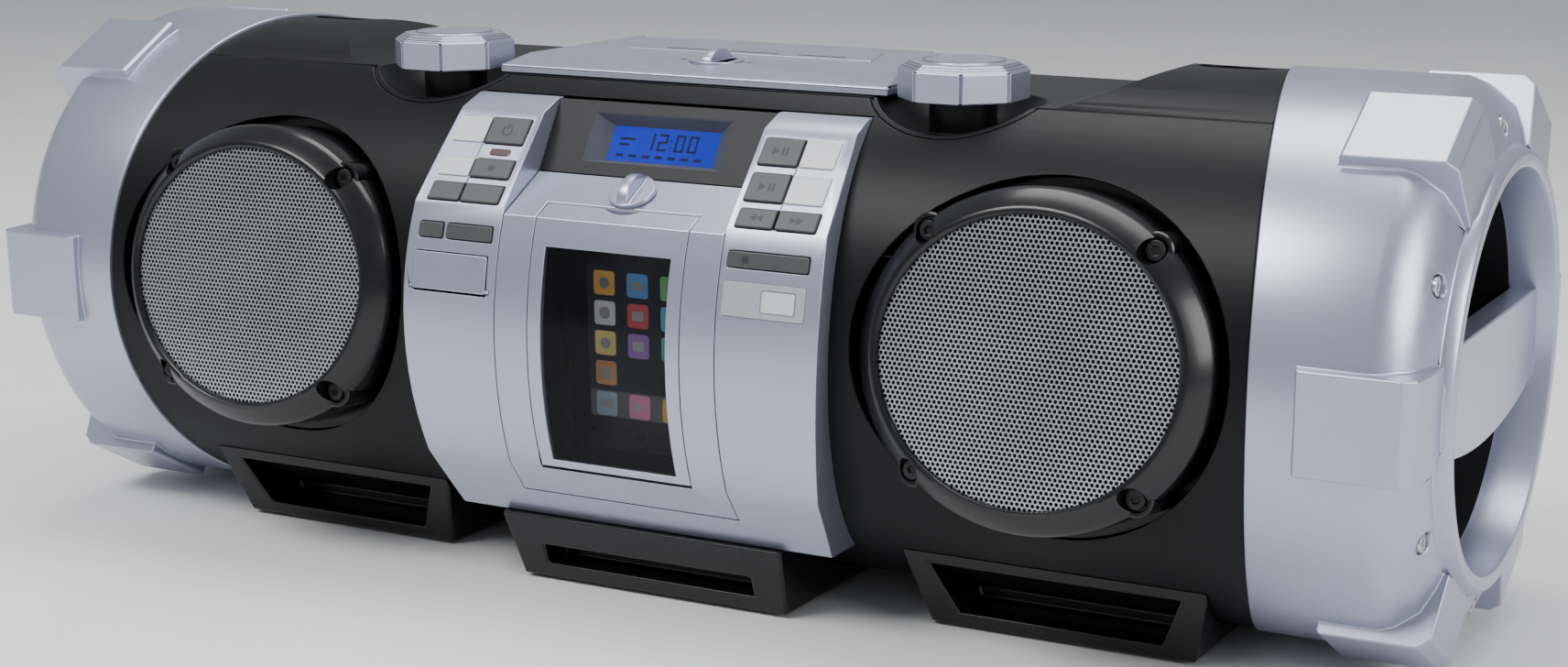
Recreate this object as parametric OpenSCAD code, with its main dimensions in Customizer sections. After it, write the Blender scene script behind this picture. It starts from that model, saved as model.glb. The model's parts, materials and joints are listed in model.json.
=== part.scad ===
// Tubular CD boombox: a horizontal tube body on three feet, a woofer in each end cap,
// two front speakers, and a centre panel with display, dock door and buttons.
// X runs along the tube, the front faces -Y, +Z is up, and the origin is on the
// floor under the middle of the tube.

/* [Tube body] */
// Height of the tube's axis above the floor
axis_h = 119; // [117:0.5:124]
// Radius of the black tube
body_r = 114.2; // [112:0.1:115]
// Wall thickness of the mouldings
wall = 3; // [2:0.5:4]
// Height of the flat deck above the tube's axis
deck_z = 100; // [98:0.5:101]
// Half length of the flat deck
deck_half = 168; // [160:1:172]
// Half length of the deck with its ramps
ramp_half = 214; // [205:1:220]

/* [End caps] */
// Overall length of the object
total_len = 690; // [680:1:700]
// Radius of the silver end caps
cap_r = 115.6; // [115.2:0.1:117]
// Distance from the middle to the slanted cap seam, on the axis
seam_x = 250; // [246:1:254]
// Slant of the seam in the plan view, in degrees
seam_slant = 12.4; // [8:0.1:15]
// Radius of the opening in front of the woofer
opening_r = 81.3; // [78:0.1:83]
// Radius to the flat face of the raised blocks
block_r = 119; // [118:0.5:122]
// Width of each raised block
block_w = 40; // [34:1:44]

/* [Front speakers] */
// Distance of each front speaker from the middle
pod_x = 188.8; // [186:0.1:190]
// Upward tilt of the front speakers, in degrees
pod_tilt = 8.2; // [5:0.1:10]
// Half width of the grille
grille_a = 62.1; // [58:0.1:63]
// Ratio of the height of the speaker trim to its width
trim_ratio = 0.905; // [0.88:0.005:1]

/* [Centre panel] */
// Half width of the panel at its widest
panel_half = 101; // [99:0.5:103]
// Half width of the fascia between the two button columns
fascia_half = 53.6; // [52:0.1:55]
// Radius of the panel's front curve
panel_r = 161.1; // [155:0.1:170]
// Height of the crease near the panel's foot, from the tube's axis
crease_z = -58; // [-62:0.5:-54]
// Width of the dock door
door_w = 74; // [70:0.5:78]
// Width of the dock window
window_w = 61; // [58:0.5:64]
// Travel of the push buttons
button_travel = 1.2; // [0.8:0.1:1.5]

/* [Top] */
// Radius of the two level knobs
knob_r = 27.4; // [26:0.1:28]
// Height of the two level knobs
knob_h = 15.8; // [14:0.1:17]
// Distance of each level knob from the middle
knob_x = 126.6; // [125.5:0.1:130]
// Width of the CD lid
lid_w = 192; // [186:1:194]
// Height of the CD lid
lid_h = 7.4; // [6.5:0.1:8]

/* [Hidden] */
$fn = 96;
silver = [0.72, 0.73, 0.80];
charcoal = [0.17, 0.175, 0.19];
gloss_black = [0.05, 0.05, 0.06];
grey = [0.45, 0.46, 0.47];
gap = 0.35;
far = 400;
cap_end = total_len / 2;
face_x = cap_end - 8;
cone_x = cap_end - 53;
// Side profile of the panel: a flat slope from its shoulder to a knee, then an arc
shoulder = [-81.5, 88.3];
knee = [-113.5, 51.7];
arc_c = [36.7, -6.6];
slope_len = norm(knee - shoulder);
slope_dir = (knee - shoulder) / slope_len;
slope_tilt = atan2(-slope_dir[0], -slope_dir[1]);
shelf_back = [-87.6, 63.8];
shelf_front = [-113.4, 49.3];
panel_foot = [-96.6, -85.9];
bezel_top = [-69.4, 93.3];
bezel_tilt = atan2(bezel_top[0] - shelf_back[0], bezel_top[1] - shelf_back[1]);
shelf_tilt = atan2(shelf_back[1] - shelf_front[1], shelf_back[0] - shelf_front[0]);
fascia_foot_z = -72.3;
door_foot_z = -57.5;
door_top_y = -105;
window_top_z = 37.8;
window_foot_z = -54;
door_pin = [-115.2, -55.9];
// Places along the button columns: distance down the slope, or degrees up the arc
column_in = 57.2;
column_out = 94;
row_power = [4.7, 17.6];
row_lamp = [20.3, 23.3];
row_line = [25.8, 35];
row_cd = [21.7, 35];
row_skip = [38.7, 47.4];
row_mode = [15.8, 18.1];
row_flap = [7.9, 13.6];
flap_pin = [-7, -0.7];
split_power = 77.3;
split_row = 77.5;
split_play = 75.2;
split_mode = 82;
// Rear details
rear_plate_y = 131;
battery_half = 152;
battery_z = [-64, 0];
aerial_y = 104.5;
aerial_z = 64;
aerial_x = 196;
aerial_r = 3.6;
lid_hinge = [57, 103.4];
strap_x = 227;
strap_y = 8;
lid_knob_x = 0;
lid_knob_y = -28;
well = [0, 1];
well_r = 49;

// ---------- helpers ----------

module on_axis() {
    translate([0, 0, axis_h]) children();
}

module both_sides() {
    children();
    mirror([1, 0, 0]) children();
}

// Solid of revolution about X from a profile of [radius, x] points
module turned_x(points) {
    rotate([90, 0, 90]) rotate_extrude() polygon(points);
}

module bar_x(r, half) {
    rotate([0, 90, 0]) cylinder(r = r, h = 2 * half, center = true);
}

// Prism along X from a [y, z] outline
module prism_x(points, half) {
    rotate([90, 0, 90]) translate([0, 0, -half]) linear_extrude(2 * half) polygon(points);
}

// Everything outside the slanted seam at the +X end
module beyond_seam(shift = 0) {
    rotate([0, 0, seam_slant])
        translate([seam_x * cos(seam_slant) + shift, -far, -far])
            cube([far, 2 * far, 2 * far]);
}

module ellipse(a, b) {
    steps = 56;
    polygon([for (i = [0:steps - 1]) [a * cos(i * 360 / steps), b * sin(i * 360 / steps)]]);
}

module oval(a, z0, z1) {
    translate([0, 0, z0]) linear_extrude(z1 - z0) ellipse(a, a * trim_ratio);
}

// Local frame of a front speaker: +Z points out of the speaker
module at_pod(side) {
    translate([side * pod_x, -112.7, 10.5]) rotate([90 - pod_tilt, 0, 0]) children();
}

function arc_point(a, r = panel_r) = [arc_c[0] - r * cos(a), arc_c[1] + r * sin(a)];
function arc_angle(z) = asin((z - arc_c[1]) / panel_r);
knee_angle = arc_angle(knee[1]);
crease_angle = arc_angle(crease_z);
// Outline of the panel's face, moved inwards by an offset
function face_line(inset) = concat(
    [[bezel_top[0] + inset, bezel_top[1] - inset], [shoulder[0] + inset, shoulder[1] - inset * 0.8]],
    [for (i = [0:12]) arc_point(knee_angle + (crease_angle - knee_angle) * i / 12, panel_r - inset)],
    [[panel_foot[0] + inset, panel_foot[1] + inset * 0.3]]);
// Run of points along the arc between two angles
function arc_run(from, to, r) = [for (i = [0:12]) arc_point(from + (to - from) * i / 12, r)];
crease = arc_point(crease_angle);
fascia_foot = crease + (panel_foot - crease) * (crease_z - fascia_foot_z) / (crease_z - panel_foot[1]);

// Barrel outline of the panel seen from the front
function barrel(z) = panel_half - 0.0008 * (z - 15) * (z - 15);
module panel_barrel(inset = 0) {
    steps = 16;
    z0 = panel_foot[1] - 4;
    z1 = bezel_top[1] + 4;
    zs = [for (i = [0:steps]) z0 + (z1 - z0) * i / steps];
    right = [for (z = zs) [barrel(z) - inset, z]];
    left = [for (i = [0:steps]) [inset - barrel(zs[steps - i]), zs[steps - i]]];
    rotate([90, 0, 0]) linear_extrude(2 * far, center = true) polygon(concat(right, left));
}

// Frame on the slope: origin at the given distance down it, +Z out of the face
module on_slope(s) {
    p = shoulder + slope_dir * s;
    translate([0, p[0], p[1]]) rotate([90 - slope_tilt, 0, 0]) children();
}

// Frame on the arc at an angle above the arc's centre line, +Z out of the face
module on_arc(a, r = panel_r) {
    p = arc_point(a, r);
    translate([0, p[0], p[1]]) rotate([90 - a, 0, 0]) children();
}

module rounded_box(x0, x1, y0, y1, z0, z1, r = 1) {
    translate([0, 0, z0]) linear_extrude(z1 - z0) {
        translate([x0 + r, y0]) square([x1 - x0 - 2 * r, y1 - y0]);
        translate([x0, y0 + r]) square([x1 - x0, y1 - y0 - 2 * r]);
        for (x = [x0 + r, x1 - r], y = [y0 + r, y1 - r]) translate([x, y]) circle(r, $fn = 24);
    }
}

// A block of a button's plan on the slope, between two depths
module slope_key(x0, x1, row, low, high, grow = 0) {
    half = (row[1] - row[0]) / 2;
    on_slope((row[0] + row[1]) / 2)
        rounded_box(x0 - grow, x1 + grow, -half - grow, half + grow, low, high);
}

module arc_key(x0, x1, row, low, high, grow = 0) {
    half = (row[1] - row[0]) / 2 * panel_r * PI / 180;
    on_arc((row[0] + row[1]) / 2)
        rounded_box(x0 - grow, x1 + grow, -half - grow, half + grow, low, high);
}

key_low = -9;
key_high = 0.9;
hole_low = -20;
hole_high = 4;

module power_key(grow = 0, low = key_low, high = key_high) {
    slope_key(-split_power, -column_in - 0.8, row_power, low, high, grow);
}
module line_key(grow = 0, low = key_low, high = key_high) {
    slope_key(-split_row, -column_in - 0.6, row_line, low, high, grow);
}
module fm_key(grow = 0, low = key_low, high = key_high) {
    slope_key(-column_out, -split_row - 0.5, row_skip, low, high, grow);
}
module preset_key(grow = 0, low = key_low, high = key_high) {
    slope_key(-split_row + 0.5, -column_in - 0.6, row_skip, low, high, grow);
}
module fm_mode_key(grow = 0, low = key_low, high = key_high) {
    arc_key(-95, -split_mode - 1, row_mode, low, high, grow);
}
module sound_key(grow = 0, low = key_low, high = key_high) {
    arc_key(-split_mode + 1.2, -column_in - 0.6, row_mode, low, high, grow);
}
module dock_play_key(grow = 0, low = key_low, high = key_high) {
    slope_key(column_in, split_play, row_power, low, high, grow);
}
module cd_play_key(grow = 0, low = key_low, high = key_high) {
    slope_key(column_in, split_play - 0.5, row_cd, low, high, grow);
}
module rewind_key(grow = 0, low = key_low, high = key_high) {
    slope_key(column_in + 0.5, split_play - 0.5, row_skip, low, high, grow);
}
module forward_key(grow = 0, low = key_low, high = key_high) {
    slope_key(split_play + 0.5, column_out, row_skip, low, high, grow);
}
module stop_key(grow = 0, low = key_low, high = key_high) {
    arc_key(column_in, column_out, row_mode, low, high, grow);
}
module all_keys(grow) {
    power_key(grow, hole_low, hole_high);
    line_key(grow, hole_low, hole_high);
    fm_key(grow, hole_low, hole_high);
    preset_key(grow, hole_low, hole_high);
    fm_mode_key(grow, hole_low, hole_high);
    sound_key(grow, hole_low, hole_high);
    dock_play_key(grow, hole_low, hole_high);
    cd_play_key(grow, hole_low, hole_high);
    rewind_key(grow, hole_low, hole_high);
    forward_key(grow, hole_low, hole_high);
    stop_key(grow, hole_low, hole_high);
}

// White label plates beside some of the keys
module labels(grow = 0, low = -3, high = 0.6) {
    slope_key(-column_out, -split_power - 0.9, row_power, low, high, grow);
    slope_key(-column_out, -split_row - 0.9, row_line, low, high, grow);
    slope_key(split_play + 0.9, 92, row_power, low, high, grow);
    slope_key(split_play + 0.4, 93, row_cd, low, high, grow);
}

// ---------- cabinet ----------

// Side view of the body seen from the front: full tube, two ramps and the flat deck
module saddle_cut() {
    steps = 12;
    ramp = [for (i = [0:steps]) let (t = i / steps)
        [deck_half + (ramp_half - deck_half) * t, deck_z + (body_r + 1 - deck_z) * t * t * (3 - 2 * t)]];
    right = concat([[0, deck_z]], ramp, [[ramp_half, far], [0, far]]);
    both_sides() rotate([90, 0, 0]) linear_extrude(2 * far, center = true) polygon(right);
}

module body_solid() {
    difference() {
        bar_x(body_r, far);
        both_sides() beyond_seam();
        saddle_cut();
    }
}

module body_shell() {
    difference() {
        body_solid();
        difference() {
            bar_x(body_r - wall, far);
            translate([0, 0, -wall]) saddle_cut();
        }
    }
}

// The part of the body that belongs to the top cover
module top_zone(grow = 0) {
    half = sqrt(body_r * body_r - deck_z * deck_z);
    translate([-far, -half - grow, 60]) cube([2 * far, 2 * half + 2 * grow, 100]);
}

module pod_holes() {
    for (side = [-1, 1]) at_pod(side) oval(79, -60, 60);
}

module panel_hole() {
    translate([-92, -200, -78]) cube([184, 160, 171.5]);
    translate([-95.5, -200, 10]) cube([191, 160, 83.5]);
}

// Box of the battery compartment, from one depth to another
module battery_box(from_y, to_y, grow = 0) {
    translate([-battery_half - grow, from_y, battery_z[0] - grow])
        cube([2 * (battery_half + grow), to_y - from_y, battery_z[1] - battery_z[0] + 2 * grow]);
}

module jack_zone(grow = 0) {
    rotate([-22, 0, 0])
        translate([-214 - grow, 60, -30 - grow])
            cube([54 + 2 * grow, 100, 60 + 2 * grow]);
}

module front_shell() {
    color(charcoal) on_axis() difference() {
        intersection() {
            body_shell();
            translate([-far, -2 * far, -far]) cube([2 * far, 2 * far, 2 * far]);
        }
        top_zone();
        pod_holes();
        panel_hole();
        knob_bowls(2.5);
    }
}

module rear_shell() {
    color(charcoal) on_axis() {
        difference() {
            intersection() {
                body_shell();
                translate([-far, 0, -far]) cube([2 * far, 2 * far, 2 * far]);
            }
            top_zone();
            battery_box(60, 200, gap);
            jack_zone();
        }
        // Tray that the batteries lie in
        difference() {
            battery_box(50, 92, 2.4);
            battery_box(52.4, 100, gap);
        }
        // Fork that holds the aerial's pivot
        for (y = [-5.3, 5.3]) translate([aerial_x, aerial_y + y, aerial_z]) rotate([90, 0, 0])
            difference() {
                translate([-5, -34, -1.1]) cube([10, 39, 2.2]);
                cylinder(r = 1.55, h = 10, center = true, $fn = 32);
            }
        // Rest for the stowed aerial
        translate([-20, aerial_y - 5, aerial_z - 22]) cube([8, 10, 22 - aerial_r - 0.4]);
    }
}

// Bowls under the two level knobs
module knob_bowls(grow = 0) {
    both_sides() translate([knob_x, -47, deck_z + 26]) sphere(r = 44 + grow);
}

module top_cover() {
    color(charcoal) on_axis() {
        difference() {
            union() {
                intersection() {
                    body_shell();
                    top_zone();
                }
                // Walls of the bowls
                intersection() {
                    body_solid();
                    knob_bowls(2.5);
                }
            }
            knob_bowls();
            strap_hole(0);
            // Well for the CD tray
            translate([well[0], well[1], 80]) cylinder(r = well_r + 3.1, h = 40);
        }
        strap_cups();
        both_sides() knob_boss();
        both_sides() hinge_ears();
    }
}

module strap_hole(grow) {
    both_sides() translate([strap_x, strap_y, 96 - grow])
        rounded_box(-18 - grow, 18 + grow, -11 - grow, 11 + grow, 0, 30, 10);
}

// Cup under each strap hole, with the bar that the strap goes round
module strap_cups() {
    difference() {
        intersection() {
            strap_hole(2.5);
            bar_x(body_r - 1, far);
        }
        strap_hole(0);
    }
    both_sides() translate([strap_x, strap_y, 106]) rotate([90, 0, 0])
        cylinder(r = 2.4, h = 24, center = true, $fn = 32);
}

// Pot of each level knob: a disc on the deck that carries the knob
module knob_boss() {
    difference() {
        translate([knob_x, -45, 82]) cylinder(r = 14, h = deck_z - 82 + 0.4);
        translate([knob_x, -45, 84]) cylinder(r = 3.2, h = 30, $fn = 48);
    }
}

module hinge_ears() {
    for (x = [66, 84]) difference() {
        union() {
            translate([x, lid_hinge[0], lid_hinge[1]]) rotate([0, 90, 0]) cylinder(r = 3.2, h = 2.8, $fn = 32);
            translate([x, 50, 98]) cube([2.8, 5, 5.4]);
            translate([x, 50, 100.2]) cube([2.8, 7, 3.2]);
        }
        translate([x - 1, lid_hinge[0], lid_hinge[1]]) rotate([0, 90, 0]) cylinder(r = 1.6, h = 6, $fn = 32);
    }
}

// ---------- end caps ----------

function cap_profile() = [[cap_r, 190], [cap_r, face_x - 19], [cap_r - 2.2, face_x - 13],
    [cap_r - 9, face_x - 4.5], [97, face_x], [90, face_x + 2], [88.5, face_x + 6],
    [86.8, cap_end], [83, cap_end], [opening_r, face_x + 6], [76.5, face_x - 25], [72.5, cone_x + 4],
    [72.5, cone_x], [76, cone_x], [80, face_x - 25], [86, face_x - 4], [96, face_x - 4],
    [cap_r - 12, face_x - 8], [cap_r - 5.4, face_x - 15], [cap_r - wall, face_x - 21],
    [cap_r - wall, 190]];

module cap_block() {
    profile = [[face_x - 43, block_r - 6], [face_x - 43, block_r - 1.4], [face_x - 41.6, block_r],
        [face_x - 3, block_r], [face_x + 2, block_r - 4], [face_x + 4.4, 88.4],
        [face_x - 3, 88.4], [face_x - 9, 98], [face_x - 22, block_r - 11]];
    rotate([90, 0, 0]) linear_extrude(block_w, center = true) polygon(profile);
}

module cap() {
    // Shell, funnel and rim
    difference() {
        turned_x(cap_profile());
        rotate([0, 0, seam_slant]) translate([seam_x * cos(seam_slant) - far, -far, -far])
            cube([far, 2 * far, 2 * far]);
        for (a = [0:60:300]) rotate([a, 0, 0]) translate([face_x - 3, 0, 97.3])
            rotate([0, 90, 0]) cylinder(r = 4.4, h = 10, $fn = 32);
    }
    // Raised blocks round the rim
    for (a = [0:60:300]) rotate([a + 90, 0, 0]) cap_block();
    // Bar across the opening
    intersection() {
        turned_x([[0, face_x - 11], [79.2, face_x - 11], [81, face_x], [0, face_x]]);
        translate([face_x - 20, 0, 0]) rotate([90, 0, 90]) linear_extrude(40) intersection() {
            translate([-90, -40]) square([180, 60]);
            translate([0, 257]) circle(286);
        }
    }
}

module left_cap() {
    color(silver) on_axis() mirror([1, 0, 0]) cap();
}

module right_cap() {
    color(silver) on_axis() cap();
}

// Screw head with a hexagon socket
module screw(head_r, head_h) {
    difference() {
        cylinder(r = head_r, h = head_h, $fn = 32);
        translate([0, 0, head_h - 1.2]) cylinder(r = head_r * 0.5, h = 3, $fn = 6);
    }
}

module cap_screws() {
    color("silver") on_axis() both_sides()
        for (a = [0:60:300]) rotate([a, 0, 0]) translate([face_x - 2.9, 0, 97.3])
            rotate([0, 90, 0]) screw(3.8, 2.2);
}

// ---------- woofers ----------

module woofer_frame() {
    turned_x([[76, cone_x], [76, cone_x - 3.5], [67, cone_x - 3.5], [50, cone_x - 36],
        [45, cone_x - 40], [45, cone_x - 68], [0, cone_x - 68], [0, cone_x - 38],
        [44, cone_x - 38], [47, cone_x - 34], [64, cone_x - 2.5], [64, cone_x]]);
}

module woofer_cone() {
    turned_x([[63.6, cone_x - 0.6], [63.6, cone_x - 2], [61, cone_x - 2], [57.5, cone_x + 1.6],
        [54, cone_x - 2], [20, cone_x - 22], [0, cone_x - 22], [0, cone_x - 14],
        [10, cone_x - 15.5], [18, cone_x - 19], [22, cone_x - 19.2], [53, cone_x - 0.6],
        [57.5, cone_x + 3], [61.6, cone_x - 0.6]]);
}

module left_woofer() {
    color(gloss_black) on_axis() mirror([1, 0, 0]) woofer_frame();
}

module right_woofer() {
    color(gloss_black) on_axis() woofer_frame();
}

module left_cone() {
    color([0.1, 0.1, 0.11]) on_axis() mirror([1, 0, 0]) woofer_cone();
}

module right_cone() {
    color([0.1, 0.1, 0.11]) on_axis() woofer_cone();
}

module woofer_baffles() {
    color(charcoal) on_axis() both_sides()
        turned_x([[68.5, cone_x - 6.5], [cap_r - wall, cone_x - 6.5],
            [cap_r - wall, cone_x - 3.5], [68.5, cone_x - 3.5]]);
}

// ---------- front speakers ----------

module pod_screw_places() {
    for (x = [-46.8, 46.8], y = [-46.8, 46.8]) translate([x, y, 0]) children();
}

module ring(side) {
    on_axis() difference() {
        union() {
            at_pod(side) {
                oval(74.5, -38, 1);
                // Sloping front of the ring, in short steps
                for (i = [0:4]) oval(74.5 - 9.5 * (i + 0.5) / 5, 0, 1 + 8.9 * (i + 1) / 5);
                pod_screw_places() translate([0, 0, -38]) cylinder(r = 7.2, h = 40, $fn = 48);
            }
            // Flange inside the tube's wall
            intersection() {
                at_pod(side) oval(84, -41, -37.9);
                bar_x(body_r - wall - 0.3, far);
            }
        }
        at_pod(side) {
            oval(grille_a + 0.2, -60, 30);
            pod_screw_places() cylinder(r = 5, h = 20, $fn = 32);
        }
    }
}

module left_ring() {
    color(gloss_black) ring(-1);
}

module right_ring() {
    color(gloss_black) ring(1);
}

module grille(side) {
    on_axis() at_pod(side) {
        oval(grille_a, 7.2, 8.6);
        difference() {
            oval(grille_a, 0, 7.2);
            oval(grille_a - 1.2, -1, 8);
        }
    }
}

module left_grille() {
    color([0.55, 0.57, 0.6]) grille(-1);
}

module right_grille() {
    color([0.55, 0.57, 0.6]) grille(1);
}

module ring_screws() {
    color(gloss_black) on_axis() for (side = [-1, 1]) at_pod(side)
        pod_screw_places() screw(4, 2.6);
}

module front_drivers() {
    profile = [[56, 0], [56, -3], [48, -3], [34, -24], [34, -48], [0, -48], [0, -20], [18, -20],
        [46, -2], [50, 0]];
    color(gloss_black) on_axis() for (side = [-1, 1]) at_pod(side) rotate_extrude() polygon(profile);
}

// ---------- centre panel ----------

module panel_body() {
    difference() {
        intersection() {
            prism_x(concat(face_line(0), [[-40, panel_foot[1]], [-40, bezel_top[1]]]), far);
            panel_barrel();
        }
        // Hollow behind the face, open to the tube
        intersection() {
            prism_x(concat(face_line(wall), [[0, panel_foot[1] + wall], [0, bezel_top[1] - wall]]), far);
            panel_barrel(wall);
        }
        bar_x(body_r, far);
    }
}

module centre_panel() {
    color(silver) on_axis() difference() {
        union() {
            panel_body();
            // Inner walls of the two button columns
            both_sides() intersection() {
                prism_x(concat(face_line(0.4), [[-58, fascia_foot_z], [-58, bezel_top[1] - 4]]), far);
                translate([fascia_half + gap, -200, fascia_foot_z]) cube([2.4, 160, far]);
            }
        }
        translate([-fascia_half - gap, -200, fascia_foot_z - gap])
            cube([2 * (fascia_half + gap), 190, far]);
        all_keys(gap);
        labels(0, hole_low, hole_high);
        arc_key(-96.2, -58.7, row_flap - [0.2, 0], -16, hole_high, gap);
        flap_pins(0.86);
        arc_key(56.2, 94, [8.8, 13.8], -1.2, hole_high);
        arc_key(74.2, 90, [9.6, 12.9], hole_low, hole_high);
        slope_key(-72.5, -62.5, row_lamp, hole_low, hole_high);
    }
}

module dock_frame() {
    color(silver) on_axis() difference() {
        prism_x(concat([shelf_back], arc_run(arc_angle(shelf_front[1]), crease_angle, panel_r),
            [fascia_foot, fascia_foot + [18, 0], fascia_foot + [18, wall], fascia_foot + [3.6, wall]],
            arc_run(crease_angle, arc_angle(shelf_front[1] - 2), panel_r - wall),
            [shelf_back + [1.4, -2.6]]), fascia_half);
        // Opening for the door
        translate([-door_w / 2 - gap, -200, door_foot_z - 1.2])
            cube([door_w + 2 * gap, 200 + door_top_y, far]);
        // Hole for the release knob
        release_frame() translate([0, 0, -10]) cylinder(r = 6.4, h = 20, $fn = 48);
        // Sockets for the door's pins
        translate([0, door_pin[0], door_pin[1]]) rotate([0, 90, 0])
            cylinder(r = 1.16, h = door_w + 8, center = true, $fn = 32);
    }
}

// Frame on the shelf at the release knob, +Z out of the shelf
module release_frame() {
    mid = shelf_back * 0.64 + shelf_front * 0.36;
    translate([0, mid[0], mid[1]]) rotate([shelf_tilt, 0, 0]) children();
}

module lcd_frame_place() {
    mid = (bezel_top + shelf_back) / 2;
    translate([0, mid[0], mid[1]]) rotate([90 - bezel_tilt, 0, 0]) children();
}

module lcd_bezel() {
    half_h = norm(bezel_top - shelf_back) / 2;
    color([0.2, 0.2, 0.2]) on_axis() lcd_frame_place() difference() {
        translate([-fascia_half, -half_h + 0.6, -12]) cube([2 * fascia_half, 2 * half_h - 0.6, 11.6]);
        translate([-33.7, -10.6, -2]) cube([67.4, 22.8, 10]);
        translate([-30, -8.6, -20]) cube([60, 18.8, 30]);
    }
}

module lcd_window() {
    color([0.8, 0.85, 1, 0.35]) on_axis() lcd_frame_place()
        translate([-33.7, -10.6, -2]) cube([67.4, 22.8, 1.2]);
}

module lcd_module() {
    color([0.25, 0.4, 0.85]) on_axis() lcd_frame_place()
        translate([-29.6, -8.2, -9]) cube([59.2, 18, 4]);
}

module label_plates() {
    color("white") on_axis() labels();
}

module standby_lamp() {
    color(grey) on_axis() slope_key(-72.5, -62.5, row_lamp, -5, 0.3);
}

module remote_window() {
    color([0.8, 0.82, 0.84]) on_axis() {
        arc_key(74.2, 90, [9.6, 12.9], -4, 0.1);
        difference() {
            arc_key(56.2, 94, [8.8, 13.8], -1.2, 0.3);
            arc_key(74.2, 90, [9.6, 12.9], -3, 3);
        }
    }
}

// ---------- buttons ----------

module power_button() {
    color(grey) on_axis() power_key();
}
module line_in_button() {
    color(grey) on_axis() line_key();
}
module fm_button() {
    color(grey) on_axis() fm_key();
}
module preset_button() {
    color(grey) on_axis() preset_key();
}
module fm_mode_button() {
    color(grey) on_axis() fm_mode_key();
}
module sound_mode_button() {
    color(grey) on_axis() sound_key();
}
module dock_play_button() {
    color(grey) on_axis() dock_play_key();
}
module cd_play_button() {
    color(grey) on_axis() cd_play_key();
}
module rewind_button() {
    color(grey) on_axis() rewind_key();
}
module forward_button() {
    color(grey) on_axis() forward_key();
}
module stop_button() {
    color(grey) on_axis() stop_key();
}

// ---------- flap and dock ----------

// Pins at the flap's lower edge
module flap_pins(r) {
    on_arc((row_flap[0] + row_flap[1]) / 2) translate([-77.45, flap_pin[0], flap_pin[1]])
        rotate([0, 90, 0]) cylinder(r = r, h = 40.9, center = true, $fn = 32);
}

module flap_door() {
    color(silver) on_axis() {
        arc_key(-96.2, -58.7, row_flap, -1.9, 0.6);
        flap_pins(0.8);
    }
}

// Socket block behind the flap, with one slot
module flap_socket() {
    color(gloss_black) on_axis() difference() {
        arc_key(-90, -64, row_flap, -13, -3.2);
        arc_key(-84, -71, [10.1, 11.3], -12, 0);
    }
}

module dock_door() {
    foot = arc_angle(door_foot_z);
    lip_y = door_top_y - gap;
    lip = [lip_y, shelf_front[1] + (lip_y - shelf_front[0]) * tan(shelf_tilt)];
    color(silver) on_axis() {
        difference() {
            prism_x(concat([lip], arc_run(arc_angle(shelf_front[1]), foot, panel_r),
                arc_run(foot, arc_angle(shelf_front[1] - 3), panel_r - wall), [lip - [0, wall]]),
                door_w / 2);
            // Window opening
            translate([-window_w / 2, -200, window_foot_z])
                cube([window_w, 200, window_top_z - window_foot_z]);
            // Clearance round the release knob
            release_frame() translate([0, 0, -20]) cylinder(r = 13, h = 40, $fn = 64);
        }
        // Pins that the door turns on
        both_sides() translate([door_w / 2 - 1, door_pin[0], door_pin[1]]) rotate([0, 90, 0])
            cylinder(r = 1.1, h = 4, $fn = 32);
    }
}

module dock_window() {
    foot = arc_angle(window_foot_z);
    top = arc_angle(window_top_z);
    outer = [for (i = [0:12]) arc_point(top + (foot - top) * i / 12, panel_r - 0.8)];
    inner = [for (i = [0:12]) arc_point(foot + (top - foot) * i / 12, panel_r - 2.6)];
    color([0.1, 0.1, 0.12, 0.4]) on_axis() prism_x(concat(outer, inner), window_w / 2);
}

module dock_knob() {
    color(silver) on_axis() release_frame() {
        translate([0, 0, 0.4]) cylinder(r = 10.2, h = 2.2, $fn = 64);
        translate([0, 0, -9]) cylinder(r = 5.8, h = 10, $fn = 48);
        // Finger grip
        intersection() {
            translate([-2.6, -10, 0.4]) cube([5.2, 20, 9]);
            translate([0, 0, 0.4]) scale([1, 1, 0.8]) sphere(r = 10);
        }
    }
}

module dock_cradle() {
    color(gloss_black) on_axis() {
        translate([-36, -98, -62]) cube([72, 38, 9]);
        translate([-36, -63, -62]) cube([72, 3, 100]);
        both_sides() translate([33, -98, -62]) cube([3, 38, 100]);
    }
}

module docked_player() {
    color([0.04, 0.04, 0.05]) on_axis() translate([0, -92, -53])
        rotate([90, 0, 0]) translate([0, 0, -5]) rounded_box(-29.5, 29.5, 0, 90, 0, 8.5, 6);
}

// ---------- CD drive ----------

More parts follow.
